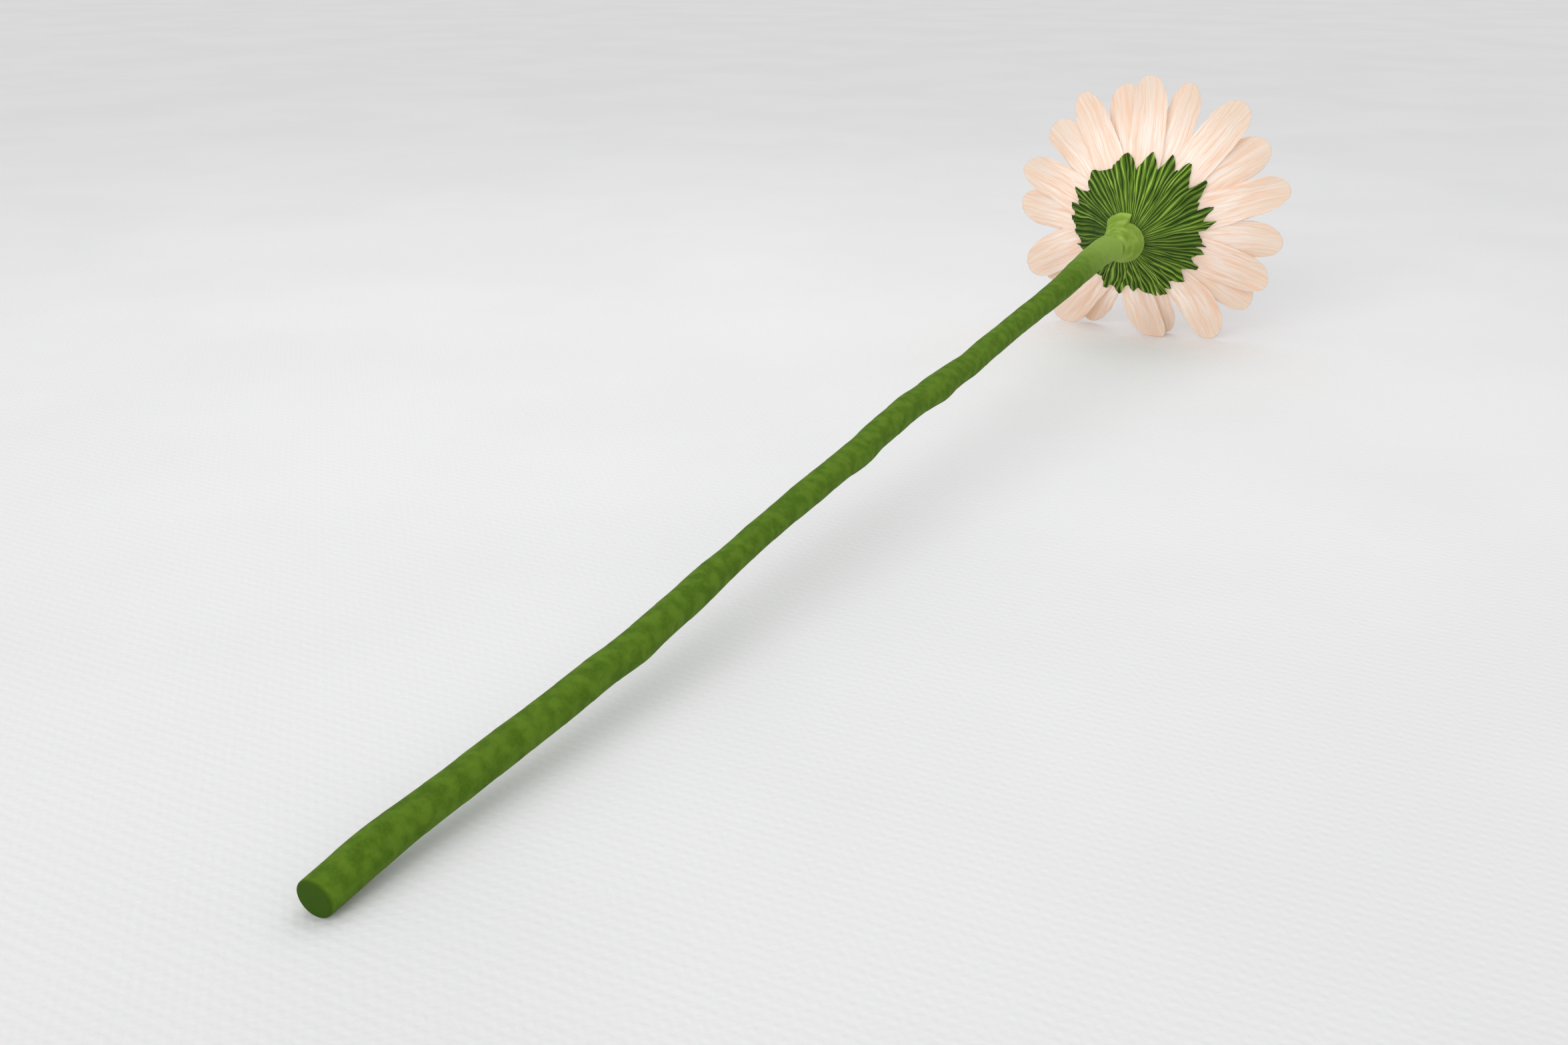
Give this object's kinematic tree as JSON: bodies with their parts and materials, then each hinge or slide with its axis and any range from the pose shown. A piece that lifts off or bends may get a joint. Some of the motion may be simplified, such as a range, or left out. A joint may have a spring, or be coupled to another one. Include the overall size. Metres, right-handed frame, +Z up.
{
  "type": "paper gerbera flower",
  "caption": "Handmade crepe-paper gerbera lying on its side: taped wire stem, pleated green calyx, layered pale peach petals, a fringe and a rolled centre.",
  "frame": {"origin": "middle of the bounding box, on the surface the flower lies on", "axes": "+Y along the stem from its cut end to the bloom, +Z up from the surface, +X to the right seen from the cut end"},
  "size_m": [0.0994, 0.4418, 0.0957],
  "materials": {
    "stem_tape": "matte crepe floral tape",
    "collar_tape": "matte crepe floral tape",
    "stem_padding": "wound tissue paper",
    "stem_wire": "drawn florists' wire",
    "calyx": "matte pleated crepe paper",
    "petals": "matte translucent crepe paper",
    "fringe": "matte fringed crepe paper",
    "centre_roll": "matte rolled and fringed crepe paper"
  },
  "bodies": {
    "root": {"stem_tape": "stem_tape", "stem_padding": "stem_padding", "stem_wire": "stem_wire", "collar_tape": "collar_tape", "calyx": "calyx", "petals_outer": "petals", "petals_inner": "petals", "fringe": "fringe", "centre_roll": "centre_roll"}
  },
  "joints": []
}
